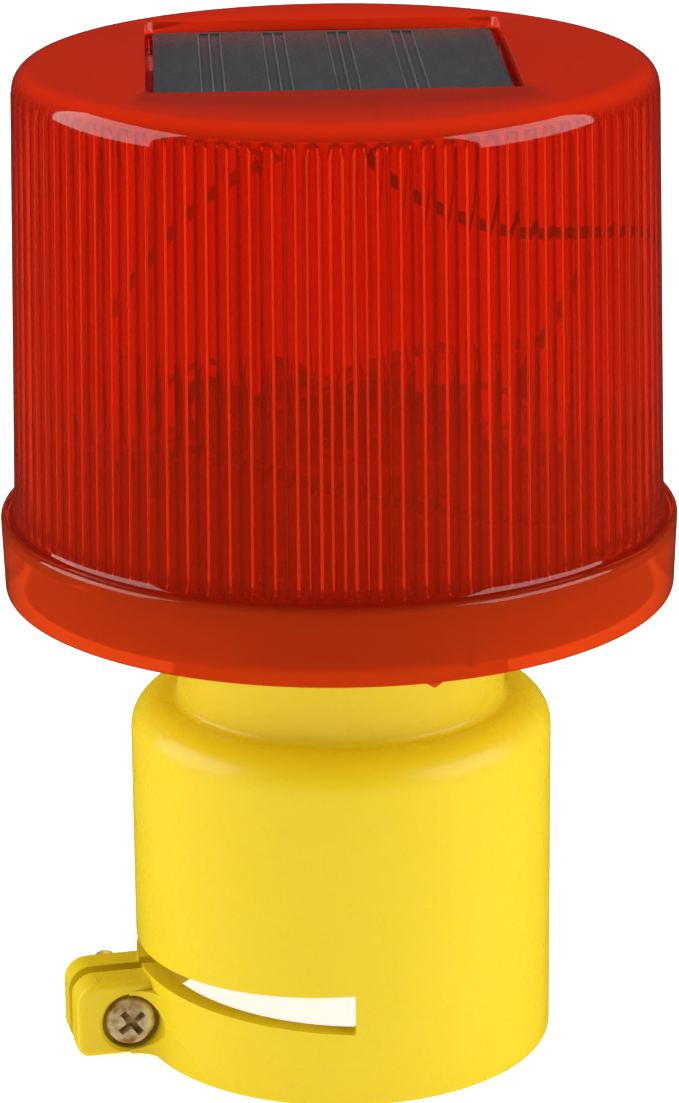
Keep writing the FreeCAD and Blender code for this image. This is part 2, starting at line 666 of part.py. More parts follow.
def make_resistors():
    parts = []
    for x, y in ((4.8, -4.2), (4.8, -7.0)):
        barrel = revolved([(0, 0, 0), (0.9, 0, 0.3), (0.9, 1.2, 0.2), (0.75, 1.5, 0.2), (0.75, 3.3, 0.2),
                           (0.9, 3.6, 0.2), (0.9, 4.8, 0.3), (0, 4.8, 0)])
        turned(barrel, 90, (0, 1, 0))
        moved(barrel, x - 2.4, y, BOARD_TOP_Z + 0.9)
        tails = [slab(x - 3.4, x - 2.3, y - 0.2, y + 0.2, BOARD_TOP_Z + 0.7, BOARD_TOP_Z + 1.1),
                 slab(x + 2.3, x + 3.4, y - 0.2, y + 0.2, BOARD_TOP_Z + 0.7, BOARD_TOP_Z + 1.1),
                 slab(x - 3.4, x - 3.0, y - 0.2, y + 0.2, BOARD_TOP_Z, BOARD_TOP_Z + 1.1),
                 slab(x + 3.0, x + 3.4, y - 0.2, y + 0.2, BOARD_TOP_Z, BOARD_TOP_Z + 1.1)]
        parts.append(joined([barrel] + tails))
    return Part.makeCompound(parts)


# ---------------------------------------------------------------- push switch
def make_switch_body():
    base_z = FLOOR_TOP_Z + 0.8
    body = revolved([(0, SOCKET_DEPTH - 3.2, 0), (BUSHING_R, SOCKET_DEPTH - 3.2, 0.3), (BUSHING_R, base_z, 0),
                     (SWITCH_R, base_z, 0.4), (SWITCH_R, SWITCH_TOP_Z, 0.6), (0, SWITCH_TOP_Z, 0)])
    return body.cut(cylinder(PLUNGER_R + 0.08, 0, base_z + 8))


def make_switch_seal():
    return ring(SWITCH_R - 0.5, BUSHING_R + 0.05, FLOOR_TOP_Z, FLOOR_TOP_Z + 0.8)


def make_switch_nut():
    nut = hexagon(14.0, SOCKET_DEPTH - 2.2, SOCKET_DEPTH)
    return nut.cut(cylinder(BUSHING_R, 0, OVERALL_H))


def make_switch_button():
    """Cap and plunger of the push switch, which travel upwards into the bushing."""
    cap_top = SOCKET_DEPTH - 3.2 - SWITCH_TRAVEL - 0.1
    return revolved([(0, cap_top - 3.0, 0), (CAP_R, cap_top - 3.0, 1.0), (CAP_R, cap_top, 0.2),
                     (PLUNGER_R, cap_top, 0), (PLUNGER_R, FLOOR_TOP_Z + 5, 0.3), (0, FLOOR_TOP_Z + 5, 0)])


def make_switch_terminals():
    tabs = []
    for y in (-3.5, 3.5):
        tabs.append(slab(-0.3, 0.3, y - 1.2, y + 1.2, SWITCH_TOP_Z, SWITCH_TOP_Z + 3.4))
    return Part.makeCompound(tabs)


# ---------------------------------------------------------------- leads
def panel_lead_start(x, y):
    return (x, y, PANEL_TOP_Z - PANEL_T - 0.35)


def make_red_panel_lead():
    """From the panel down the back, round the left side, then in an arch over the board."""
    return tube([
        panel_lead_start(-1.8, 0.6), (-1.8, 1.2, 139.0), (-7.0, 12.0, 131.5), (-19.0, 24.0, 124.0),
        (-31.0, 20.0, 114.0), (-37.5, 8.0, 104.0), (-37.5, -7.0, 98.0), (-31.0, -19.0, 97.5),
        (-18.5, -25.0, 101.0), (-4.5, -21.0, 107.0), (7.5, -11.0, 109.0), (15.5, -1.0, 108.0),
        (16.9, 7.0, 104.5), (16.9, 7.0, BOARD_TOP_Z)], PANEL_WIRE_R)


def make_black_panel_lead():
    """From the panel forwards and right, down the right side, round the front to the board."""
    return tube([
        panel_lead_start(1.8, -0.6), (1.8, -1.4, 139.0), (4.5, -9.0, 136.0), (12.0, -20.0, 133.0),
        (24.0, -25.0, 130.0), (34.0, -17.0, 128.5), (38.5, -3.0, 125.0), (36.5, 10.0, 116.0),
        (33.0, 18.0, 106.0),
        (28.2, 25.0, 96.5), (29.5, 23.0, 89.5), (33.0, 16.5, 86.0), (37.0, 3.0, 85.5),
        (36.0, -12.0, 86.0), (27.0, -27.0, 88.5), (11.0, -36.0, 94.0),
        (-7.0, -36.5, 98.5), (-22.0, -29.0, 103.0), (-20.5, -15.0, 107.5), (-16.0, -7.0, 103.5),
        (-16.0, -7.0, BOARD_TOP_Z)], PANEL_WIRE_R)


def make_battery_leads():
    """Two leads from the holder's solder tails, up past the board's edge and down on to its top."""
    tail_z = PLATE_TOP_Z + HOLDER_H + 0.5
    tail_x = HOLDER_X / 2 + 0.6
    route = [(tail_x, 0, tail_z), (tail_x, 0, tail_z + 9.0), (tail_x - 4.6, -4.2, tail_z + 14.5),
             (tail_x - 11.0, -7.6, tail_z + 16.5), (tail_x - 13.6, -9.2, tail_z + 13.0),
             (tail_x - 13.6, -9.2, BOARD_TOP_Z)]
    lead = tube(route, THIN_WIRE_R)
    return Part.makeCompound([lead, turned(lead.copy(), 180)])


def make_switch_leads():
    """Two leads from the switch up through the base plate to the underside of the board."""
    x, y = WIRE_PASS
    z = SWITCH_TOP_Z + 2.2
    return Part.makeCompound([
        tube([(0.9, 3.6, z), (x + 0.6, y + 1.2, z + 1.0), (x + 0.6, y + 1.2, BOARD_Z)], THIN_WIRE_R),
        tube([(0.9, -3.4, z), (x - 0.6, y - 1.2, z + 1.0), (x - 0.6, y - 1.2, BOARD_Z)], THIN_WIRE_R)])


PARTS = {
    "mounting_collar": make_mounting_collar,
    "clamp_bolt": make_clamp_bolt,
    "clamp_nut": make_clamp_nut,
    "lens": make_lens,
    "lens_seal": make_lens_seal,
    "solar_panel": make_solar_panel,
    "solar_cells": make_solar_cells,
    "cell_tabs": make_cell_tabs,
    "panel_pad": make_panel_pad,
    "base_plate": make_base_plate,
    "plate_screws": make_plate_screws,
    "board_screws": make_board_screws,
    "battery_holder": make_battery_holder,
    "battery_cell": make_battery_cell,
    "battery_contacts": make_battery_contacts,
    "battery_spring": make_battery_spring,
    "circuit_board": make_circuit_board,
    "led_lamps": make_led_lamps,
    "led_legs": make_led_legs,
    "driver_chip": make_driver_chip,
    "inductor": make_inductor,
    "capacitor": make_capacitor,
    "resistors": make_resistors,
    "switch_body": make_switch_body,
    "switch_seal": make_switch_seal,
    "switch_nut": make_switch_nut,
    "switch_button": make_switch_button,
    "switch_terminals": make_switch_terminals,
    "red_panel_lead": make_red_panel_lead,
    "black_panel_lead": make_black_panel_lead,
    "battery_leads": make_battery_leads,
    "switch_leads": make_switch_leads,
}


def main():
    os.makedirs("parts", exist_ok=True)
    for name, make in PARTS.items():
        shape = make()
        shape.exportStep(f"parts/{name}.step")
        print(f"{name}: {len(shape.Solids)} solids, {shape.Volume:.0f} mm3, valid {shape.isValid()}")


main()
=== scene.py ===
import json
import math

import bpy
from mathutils import Matrix, Vector


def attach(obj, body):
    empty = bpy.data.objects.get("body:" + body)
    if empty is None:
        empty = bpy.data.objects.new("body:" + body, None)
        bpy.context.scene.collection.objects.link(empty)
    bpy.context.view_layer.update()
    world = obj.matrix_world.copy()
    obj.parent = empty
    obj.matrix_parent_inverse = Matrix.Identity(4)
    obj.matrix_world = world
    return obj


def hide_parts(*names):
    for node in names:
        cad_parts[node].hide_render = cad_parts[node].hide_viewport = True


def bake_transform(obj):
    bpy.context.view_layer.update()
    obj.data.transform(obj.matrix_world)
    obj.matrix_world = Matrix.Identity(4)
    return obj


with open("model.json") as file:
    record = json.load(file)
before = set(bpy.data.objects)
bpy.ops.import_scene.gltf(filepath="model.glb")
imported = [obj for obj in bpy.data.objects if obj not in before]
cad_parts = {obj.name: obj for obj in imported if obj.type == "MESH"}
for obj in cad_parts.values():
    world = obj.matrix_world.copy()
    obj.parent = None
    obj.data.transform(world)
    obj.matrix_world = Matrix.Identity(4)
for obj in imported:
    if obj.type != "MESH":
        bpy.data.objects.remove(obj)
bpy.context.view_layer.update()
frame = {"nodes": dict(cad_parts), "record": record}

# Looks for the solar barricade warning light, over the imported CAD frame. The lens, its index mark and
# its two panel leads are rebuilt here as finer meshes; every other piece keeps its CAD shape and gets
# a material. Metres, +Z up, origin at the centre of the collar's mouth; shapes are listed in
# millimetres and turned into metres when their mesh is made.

MM = 0.001
WHITE = (1.0, 1.0, 1.0, 1.0)


# ---------------------------------------------------------------- sizes of the lens, in millimetres
TOP_Z = 150.0
WALL_FOOT_R = 48.0  # outside of the drum just above the skirt
WALL_DRAFT = 1.5  # how much narrower the drum is at its top
WALL = 2.6  # thickness
SHOULDER_R = 3.6  # fillet between the drum's side and its top
SHOULDER_AT_R = 42.9
TOP_EDGE_R = 42.3

SKIRT_R = 50.0
SKIRT_TOP_Z = 83.6
SKIRT_TOP_FILLET = 0.8
SKIRT_BOTTOM_Z = 72.0
SKIRT_FOOT_R = 49.6
SKIRT_FOOT_FILLET = 0.5
SKIRT_BORE_R = 48.4
SHELF_Z = 81.6  # underside of the step between skirt and drum

RIBS = 90
RIB_HALF = 0.27  # half a rib's width as a share of the spacing
RIB_HEIGHT = 0.70
RIB_LOW_Z, RIB_HIGH_Z = 82.6, 147.4
RIB_DOME = 1.6  # length of a rib's rounded end
RING_POINTS = RIBS * 12

CEILING_Z = 147.75
PANEL_AT = (-1.0, 5.0)
PANEL_TURN = math.radians(2.5)
POCKET = (52.8, 51.8)
POCKET_CORNER_R = 1.8
POCKET_FLOOR_Z = 146.2
POCKET_UNDERSIDE_Z = 144.6
LEAD_HOLE_R = 4.5

# bayonet ridges and stop rib inside the skirt; angles in degrees
RIDGE_INNER_R, RIDGE_OUTER_R = 46.9, 48.45
RIDGE_LOCKS, RIDGE_ROWS = 3, 2
RIDGE_FIRST_AT, RIDGE_SPAN = -89.0, 30.0
RIDGE_BASE_Z, RIDGE_PITCH, RIDGE_HALF = 74.5, 2.2, 0.5
STOP_AT, STOP_SPAN = -68.0, 1.2
STOP_LOW_Z, STOP_HIGH_Z = 73.6, 81.65

INDEX_AT = math.radians(-90 + 15.3)
INDEX_RADII = (48.6, 49.45)
INDEX_OUTLINE = ((-1.5, 72.3), (0.0, 71.35), (1.5, 72.3))  # (along the edge, z)

# ---------------------------------------------------------------- looks of the lens
# how clear the red plastic is, as a transmission weight
CLEAR_DRUM, CLEAR_LOW_DRUM, CLEAR_TOP, CLEAR_SKIRT = 0.83, 0.76, 0.18, 0.60
CLEAR_STEPS = (  # (z from, z to, weight there, weight there), z in metres
    (0.1468, 0.1500, CLEAR_DRUM, CLEAR_TOP),
    (0.0825, 0.0845, CLEAR_SKIRT, CLEAR_DRUM),
    (0.0950, 0.1350, CLEAR_LOW_DRUM, CLEAR_DRUM),
)
SKIRT_COLOUR = (0.66, 0.050, 0.005, 1.0)
SKIRT_COLOUR_TOP = 0.0836  # metres
# painted shade: a dark colour multiplied into the red along the steep sides of the inner ribs, standing in
# for the shade that the ribs' refraction makes there
RIB_SIDE_PAINTED_SHADE = (0.05, 0.01, 0.01, 1.0)
RIB_SHADE_WIDTH = 0.12  # of a rib's steep side, as a share of the spacing
RIB_SHADE_MAX_R = 0.0459  # metres: the painted shade stays on the inner wall, between these heights
RIB_SHADE_LOW, RIB_SHADE_HIGH = 0.083, 0.1472


# ---------------------------------------------------------------- materials
class Graph:
    """Short ways to add and wire nodes in a node tree."""

    def __init__(self, tree):
        self.tree = tree

    def node(self, kind, **values):
        made = self.tree.nodes.new(kind)
        for key, value in values.items():
            setattr(made, key, value)
        return made

    def feed(self, socket, value):
        """Set an input to a constant, or link it when the value is another node's output."""
        if isinstance(value, bpy.types.NodeSocket):
            self.tree.links.new(value, socket)
        else:
            socket.default_value = value

    def maths(self, operation, *inputs):
        made = self.node("ShaderNodeMath", operation=operation)
        for socket, value in zip(made.inputs, inputs):
            self.feed(socket, value)
        return made.outputs["Value"]

    def remap(self, value, low, high, start, end, interpolation="SMOOTHSTEP"):
        span = self.node("ShaderNodeMapRange", interpolation_type=interpolation)
        self.feed(span.inputs["Value"], value)
        for key, number in (("From Min", low), ("From Max", high), ("To Min", start), ("To Max", end)):
            span.inputs[key].default_value = number
        return span.outputs["Result"]

    def mix(self, share, low, high):
        rest = self.maths("SUBTRACT", 1.0, share)
        return self.maths("ADD", self.maths("MULTIPLY", rest, low), self.maths("MULTIPLY", share, high))


class Shader(Graph):
    """A principled material varied by noise in object coordinates."""

    NOISE_LOW, NOISE_HIGH = 0.3, 0.7  # the part of the noise's range that is spread over low to high
    NOISE_ROUGHNESS = 0.55

    def __init__(self, name):
        self.material = bpy.data.materials.new(name)
        self.material.use_nodes = True
        super().__init__(self.material.node_tree)
        self.tree.nodes.clear()
        self.bsdf = self.node("ShaderNodeBsdfPrincipled")
        self.feed(self.node("ShaderNodeOutputMaterial").inputs["Surface"], self.bsdf.outputs["BSDF"])
        self.coords = self.node("ShaderNodeTexCoord").outputs["Object"]

    def set(self, **values):
        for key, value in values.items():
            self.bsdf.inputs[key.replace("_", " ")].default_value = value

    def noise(self, scale, detail=3.0, stretch=(1, 1, 1)):
        mapping = self.node("ShaderNodeMapping")
        mapping.inputs["Scale"].default_value = stretch
        self.feed(mapping.inputs["Vector"], self.coords)
        made = self.node("ShaderNodeTexNoise")
        made.inputs["Scale"].default_value = scale
        made.inputs["Detail"].default_value = detail
        made.inputs["Roughness"].default_value = self.NOISE_ROUGHNESS
        self.feed(made.inputs["Vector"], mapping.outputs["Vector"])
        return made.outputs["Fac"]

    def vary_colour(self, low, high, scale, **options):
        ramp = self.node("ShaderNodeValToRGB")
        stops = ((self.NOISE_LOW, low), (self.NOISE_HIGH, high))
        for element, (place, colour) in zip(ramp.color_ramp.elements, stops):
            element.position = place
            element.color = (*colour, 1.0)
        self.feed(ramp.inputs["Fac"], self.noise(scale, **options))
        self.feed(self.bsdf.inputs["Base Color"], ramp.outputs["Color"])
        return ramp.outputs["Color"]

    def vary_roughness(self, low, high, scale, **options):
        noise = self.noise(scale, **options)
        span = self.remap(noise, self.NOISE_LOW, self.NOISE_HIGH, low, high, interpolation="LINEAR")
        self.feed(self.bsdf.inputs["Roughness"], span)

    def bump(self, scale, strength, distance, **options):
        made = self.node("ShaderNodeBump")
        made.inputs["Strength"].default_value = strength
        made.inputs["Distance"].default_value = distance
        self.feed(made.inputs["Height"], self.noise(scale, **options))
        self.feed(self.bsdf.inputs["Normal"], made.outputs["Normal"])

    def blend(self, factor, kind, base, colour):
        made = self.node("ShaderNodeMixRGB", blend_type=kind)
        for key, value in (("Fac", factor), ("Color1", base), ("Color2", colour)):
            self.feed(made.inputs[key], value)
        return made.outputs["Color"]


def yellow_plastic():
    s = Shader("yellow_plastic")
    s.vary_colour((0.715, 0.528, 0.010), (0.730, 0.540, 0.013), 26.0, detail=4.0)
    s.vary_roughness(0.24, 0.32, 160.0)
    s.bump(900.0, 0.03, 0.00005, detail=2.0)
    s.set(IOR=1.49, Specular_IOR_Level=0.35)
    return s.material


def red_lens():
    """Clear red drum with painted shade along its rib sides, between a top and a skirt that read as nearly
    solid red.
    """
    s = Shader("red_lens")
    red = s.vary_colour((0.735, 0.026, 0.003), (0.775, 0.030, 0.005), 30.0)
    s.vary_roughness(0.03, 0.06, 90.0)
    s.bump(260.0, 0.05, 0.00006, detail=2.0)
    s.set(IOR=1.49)
    place = s.node("ShaderNodeSeparateXYZ")
    s.feed(place.inputs["Vector"], s.coords)
    x, y, z = (place.outputs[axis] for axis in "XYZ")

    clear = CLEAR_DRUM
    for step in CLEAR_STEPS:
        clear = s.maths("MINIMUM", clear, s.remap(z, *step))
    s.feed(s.bsdf.inputs["Transmission Weight"], clear)

    # painted shade: a mask that is 1 on the steep sides of the inner wall's ribs, between the shade heights
    turns = s.maths("MULTIPLY", s.maths("ARCTAN2", y, x), RIBS / (2 * math.pi))
    across = s.maths("ABSOLUTE", s.maths("SUBTRACT", s.maths("FRACT", turns), 0.5))
    off_shade = s.maths("DIVIDE", s.maths("ABSOLUTE", s.maths("SUBTRACT", across, RIB_HALF)), RIB_SHADE_WIDTH)
    on_shade = s.maths("SUBTRACT", 1.0, s.maths("MINIMUM", off_shade, 1.0))
    radius = s.maths("SQRT", s.maths("ADD", s.maths("MULTIPLY", x, x), s.maths("MULTIPLY", y, y)))
    inner = s.maths("MULTIPLY", s.maths("LESS_THAN", radius, RIB_SHADE_MAX_R),
                    s.maths("LESS_THAN", z, RIB_SHADE_HIGH))
    inner = s.maths("MULTIPLY", inner, s.maths("GREATER_THAN", z, RIB_SHADE_LOW))
    # painted shade: the rib sides' dark colour is multiplied into the red where the mask is on
    colour = s.blend(s.maths("MULTIPLY", on_shade, inner), "MULTIPLY", red, RIB_SIDE_PAINTED_SHADE)
    colour = s.blend(s.maths("LESS_THAN", z, SKIRT_COLOUR_TOP), "MIX", colour, SKIRT_COLOUR)
    s.feed(s.bsdf.inputs["Base Color"], colour)
    return s.material


FINE_BUMP = (700.0, 0.15, 0.00006)  # scale, strength and height in metres
FAINT_BUMP = (700.0, 0.03, 0.00004)
FOAM_BUMP = (1500.0, 0.5, 0.0002)
BOARD_BUMP = (1200.0, 0.2, 0.00005)
ROUGHNESS_SCALE = 2.2  # roughness varies this much finer than colour


def simple(name, low, high, rough, metallic=0.0, scale=90.0, bump=FINE_BUMP, spec=0.5, stretch=(1, 1, 1),
           transmission=0.0):
    s = Shader(name)
    s.vary_colour(low, high, scale, stretch=stretch)
    s.vary_roughness(*rough, scale * ROUGHNESS_SCALE, stretch=stretch)
    s.bump(*bump, stretch=stretch)
    s.set(IOR=1.5, Metallic=metallic, Specular_IOR_Level=spec, Transmission_Weight=transmission)
    return s.material


SIMPLE_LOOKS = {  # slot: low colour, high colour, roughness from and to, options
    "panel_resin": ((0.078, 0.078, 0.082), (0.088, 0.088, 0.092), (0.20, 0.28),
                    {"spec": 0.25, "bump": FAINT_BUMP}),
    "solar_cell": ((0.062, 0.062, 0.067), (0.074, 0.074, 0.080), (0.22, 0.30),
                   {"spec": 0.25, "bump": FAINT_BUMP, "stretch": (6, 1, 1)}),
    "silver_tab": ((0.12, 0.13, 0.14), (0.17, 0.18, 0.20), (0.30, 0.42), {"metallic": 0.2}),
    "foam": ((0.02, 0.02, 0.02), (0.04, 0.04, 0.04), (0.85, 0.95), {"bump": FOAM_BUMP}),
    "seal_rubber": ((0.018, 0.018, 0.018), (0.03, 0.03, 0.03), (0.55, 0.7), {}),
    "zinc_bolt": ((0.34, 0.17, 0.05), (0.95, 0.82, 0.52), (0.12, 0.26), {"metallic": 0.3, "scale": 420.0}),
    "zinc_screw": ((0.55, 0.55, 0.56), (0.70, 0.70, 0.71), (0.22, 0.36), {"metallic": 1.0}),
    "spring_steel": ((0.62, 0.62, 0.62), (0.78, 0.78, 0.78), (0.12, 0.22), {"metallic": 1.0}),
    "black_plastic": ((0.016, 0.016, 0.017), (0.026, 0.026, 0.027), (0.40, 0.55), {}),
    "cell_sleeve": ((0.78, 0.70, 0.58), (0.84, 0.77, 0.66), (0.18, 0.28), {}),
    "board_white": ((0.70, 0.70, 0.66), (0.78, 0.78, 0.74), (0.25, 0.4), {"bump": BOARD_BUMP}),
    "holder_white": ((0.76, 0.76, 0.72), (0.82, 0.82, 0.78), (0.35, 0.5), {}),
    "led_amber": ((0.90, 0.45, 0.10), (0.95, 0.52, 0.14), (0.05, 0.12), {"transmission": 0.6}),
    "chip_black": ((0.012, 0.012, 0.012), (0.02, 0.02, 0.02), (0.5, 0.65), {}),
    "ferrite": ((0.03, 0.03, 0.033), (0.05, 0.05, 0.053), (0.5, 0.7), {}),
    "can_blue": ((0.012, 0.022, 0.07), (0.018, 0.03, 0.09), (0.2, 0.32), {}),
    "resistor_tan": ((0.50, 0.36, 0.18), (0.58, 0.43, 0.24), (0.35, 0.5), {}),
    "button_rubber": ((0.30, 0.010, 0.008), (0.36, 0.016, 0.012), (0.5, 0.65), {}),
    "red_wire": ((0.82, 0.030, 0.020), (0.90, 0.040, 0.028), (0.32, 0.42), {}),
    "black_wire": ((0.006, 0.006, 0.006), (0.012, 0.012, 0.012), (0.32, 0.42), {}),
}

MATERIALS = {"yellow_plastic": yellow_plastic(), "red_lens": red_lens()}
for slot, (low, high, rough, options) in SIMPLE_LOOKS.items():
    MATERIALS[slot] = simple(slot, low, high, rough, **options)

slots = {sub["node"]: sub["material_slot"] for sub in frame["record"]["subparts"]}
for name, piece in frame["nodes"].items():
    for k in range(len(piece.material_slots)):
        piece.material_slots[k].material = MATERIALS[slots[name]]


# ---------------------------------------------------------------- mesh helpers, in millimetres
CREASE = math.radians(32)  # edges sharper than this stay sharp under smooth shading


def add_object(name, data):
    made = bpy.data.objects.new(name, data)
    bpy.context.scene.collection.objects.link(made)
    return made


def paint(piece, slot):
    piece.data.materials.clear()
    piece.data.materials.append(MATERIALS[slot])


def new_piece(name, verts, faces, slot, body, smooth=True):
    mesh = bpy.data.meshes.new(name)
    mesh.from_pydata([(x * MM, y * MM, z * MM) for x, y, z in verts], [], faces)
    mesh.update()
    if smooth:
        mesh.shade_smooth()
        mesh.set_sharp_from_angle(angle=CREASE)
    piece = add_object(name, mesh)
    paint(piece, slot)
    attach(piece, body)
    return piece


def polar(radius, angle, z):
    return radius * math.cos(angle), radius * math.sin(angle), z


def circle(radius, z):
    return [polar(radius, 2 * math.pi * k / RING_POINTS, z) for k in range(RING_POINTS)]


def rounded_rectangle(size_x, size_y, corner, z, turn, at):
    """Points of a turned rounded rectangle round at, each on the ray at its own angle from there."""
    points = []
    half_x, half_y = size_x / 2, size_y / 2
    corner_x, corner_y = half_x - corner, half_y - corner
    c, s = math.cos(turn), math.sin(turn)
    tiny, far = 1e-9, 1e9
    for k in range(RING_POINTS):
        angle = 2 * math.pi * k / RING_POINTS - turn
        dx, dy = math.cos(angle), math.sin(angle)
        reach = min(half_x / abs(dx) if abs(dx) > tiny else far,
                    half_y / abs(dy) if abs(dy) > tiny else far)
        x, y = dx * reach, dy * reach
        if abs(x) > corner_x and abs(y) > corner_y:
            # the ray leaves through a corner: meet the corner's circle instead
            centre_x, centre_y = math.copysign(corner_x, x), math.copysign(corner_y, y)
            along = dx * centre_x + dy * centre_y
            inside = along * along - centre_x * centre_x - centre_y * centre_y + corner * corner
            reach = along + math.sqrt(max(inside, 0.0))
            x, y = dx * reach, dy * reach
        points.append((at[0] + x * c - y * s, at[1] + x * s + y * c, z))
    return points


def loft(rings):
    """Vertices and quads through rings of equally many points, the last ring joined to the first."""
    count = len(rings[0])
    verts = [point for ring in rings for point in ring]
    faces = []
    for i in range(len(rings)):
        a, b = i * count, ((i + 1) % len(rings)) * count
        for k in range(count):
            n = (k + 1) % count
            faces.append((a + k, b + k, b + n, a + n))
    return verts, faces


def fillet(centre_r, centre_z, radius, start, end, steps):
    """(radius, z) points round a corner's centre, angles in degrees from outwards towards up."""
    points = []
    for k in range(steps + 1):
        angle = math.radians(start + (end - start) * k / steps)
        points.append((centre_r + radius * math.cos(angle), centre_z + radius * math.sin(angle)))
    return points


# ---------------------------------------------------------------- lens
def wall_radius(z):
    return WALL_FOOT_R - WALL_DRAFT * (z - SKIRT_TOP_Z) / (TOP_Z - SKIRT_TOP_Z)


def ribbed_ring(z):
    """One row of the inner wall: half-round ribs whose ends are domed."""
    valley = wall_radius(z) - WALL
    pitch = 2 * math.pi / RIBS
    along = max(z - (RIB_HIGH_Z - RIB_DOME), (RIB_LOW_Z + RIB_DOME) - z, 0.0) / RIB_DOME
    points = []
    for k in range(RING_POINTS):
        angle = 2 * math.pi * k / RING_POINTS
        across = abs(((angle / pitch) % 1.0) - 0.5) / RIB_HALF
        height = RIB_HEIGHT * math.sqrt(max(0.0, 1.0 - across * across - along * along))
        points.append(polar(valley - height, angle, z))
    return points


# (radius, z) down the outside, round the skirt's lower edge and up its inside
OUTER_PROFILE = (
    [(TOP_EDGE_R, TOP_Z)]
    + fillet(SHOULDER_AT_R, TOP_Z - SHOULDER_R, SHOULDER_R, 88, 2, 11)
    + [(wall_radius(z), z) for z in (146.0, 130.0, 110.0, 95.0, 84.6)]
    + [(48.1, 84.05), (48.25, 83.75), (48.6, SKIRT_TOP_Z)]
    + fillet(SKIRT_R - SKIRT_TOP_FILLET, SKIRT_TOP_Z - SKIRT_TOP_FILLET, SKIRT_TOP_FILLET, 90, 0, 5)
    + [(49.64, 72.6)]
    + fillet(SKIRT_FOOT_R - SKIRT_FOOT_FILLET, SKIRT_BOTTOM_Z + SKIRT_FOOT_FILLET, SKIRT_FOOT_FILLET,
             -10, -90, 4)
    + [(48.6, SKIRT_BOTTOM_Z), (SKIRT_BORE_R, 72.2), (SKIRT_BORE_R, 81.2), (48.0, SHELF_Z)]
    + [(wall_radius(SHELF_Z) - WALL, SHELF_Z)]
)
# rows of the ribbed wall, close together where the ribs' domed ends curve
RIB_ROWS = (82.0, 82.6, 82.8, 83.1, 83.5, 83.9, 84.2, 90, 100, 110, 120, 130, 140, 144.5, 145.4,
            145.8, 146.2, 146.5, 146.8, 147.05, 147.25, 147.4)
CEILING_PROFILE = ((43.5, 147.65), (43.0, CEILING_Z))  # (radius, z) from the wall on to the ceiling
# (added to the pocket's size, added to its corner radius, z): the recess in the top
POCKET_ROWS = ((0.0, 0.0, POCKET_FLOOR_Z), (0.0, 0.0, TOP_Z - 0.35), (0.2, 0.1, TOP_Z - 0.1),
               (0.7, 0.3, TOP_Z))
# and the box that it makes under the drum's ceiling
POCKET_UNDER_ROWS = ((4.4, 0.9, CEILING_Z), (3.6, 0.7, 147.2), (3.6, 0.7, POCKET_UNDERSIDE_Z))


def pocket_ring(extra, extra_corner, z):
    return rounded_rectangle(POCKET[0] + extra, POCKET[1] + extra, POCKET_CORNER_R + extra_corner, z,
                             PANEL_TURN, PANEL_AT)


def lens_rings():
    """Rings from the lead hole's top edge over the whole shell to the hole's lower edge."""
    rings = [circle(LEAD_HOLE_R, POCKET_FLOOR_Z)]
    rings += [pocket_ring(*row) for row in POCKET_ROWS]
    rings += [circle(radius, z) for radius, z in OUTER_PROFILE]
    rings += [ribbed_ring(z) for z in RIB_ROWS]
    rings += [circle(radius, z) for radius, z in CEILING_PROFILE]
    rings += [pocket_ring(*row) for row in POCKET_UNDER_ROWS]
    rings.append(circle(LEAD_HOLE_R, POCKET_UNDERSIDE_Z))
    return rings


def arc_block(z0, z1, middle, span, taper=0.2):
    """Closed block bent round Z inside the skirt, a little thinner at its inner radius."""
    steps = max(2, int(span / 2))
    corners = ((RIDGE_OUTER_R, z0), (RIDGE_INNER_R, z0 + taper),
               (RIDGE_INNER_R, z1 - taper), (RIDGE_OUTER_R, z1))
    verts, faces = [], []
    for k in range(steps + 1):
        angle = math.radians(middle - span / 2 + span * k / steps)
        verts += [polar(radius, angle, z) for radius, z in corners]
    for k in range(steps):
        a, b = 4 * k, 4 * k + 4
        for i in range(4):
            j = (i + 1) % 4
            faces.append((a + i, a + j, b + j, b + i))
    faces.append((3, 2, 1, 0))
    last = 4 * steps
    faces.append((last, last + 1, last + 2, last + 3))
    return verts, faces


def make_lens():
    verts, faces = loft(lens_rings())
    blocks = []
    for lock in range(RIDGE_LOCKS):
        middle = RIDGE_FIRST_AT + 360.0 / RIDGE_LOCKS * lock
        for row in range(RIDGE_ROWS):
            z = RIDGE_BASE_Z + (row + 0.5) * RIDGE_PITCH
            blocks.append(arc_block(z - RIDGE_HALF, z + RIDGE_HALF, middle, RIDGE_SPAN))
    blocks.append(arc_block(STOP_LOW_Z, STOP_HIGH_Z, STOP_AT, STOP_SPAN, taper=0.0))
    for block_verts, block_faces in blocks:
        base = len(verts)
        verts += block_verts
        faces += [tuple(base + i for i in face) for face in block_faces]
    lens = new_piece("lens_drum", verts, faces, "red_lens", "lens_body")
    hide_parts("lens")


def make_index_mark():
    """Small moulded V under the skirt's edge that marks the locked position."""
    verts = [polar(radius, INDEX_AT + across / radius, z)
             for radius in INDEX_RADII for across, z in INDEX_OUTLINE]
    faces = [(0, 1, 2), (5, 4, 3), (0, 3, 4, 1), (1, 4, 5, 2), (2, 5, 3, 0)]
    new_piece("lens_index_mark", verts, faces, "red_lens", "lens_body", smooth=False)


make_lens()
make_index_mark()


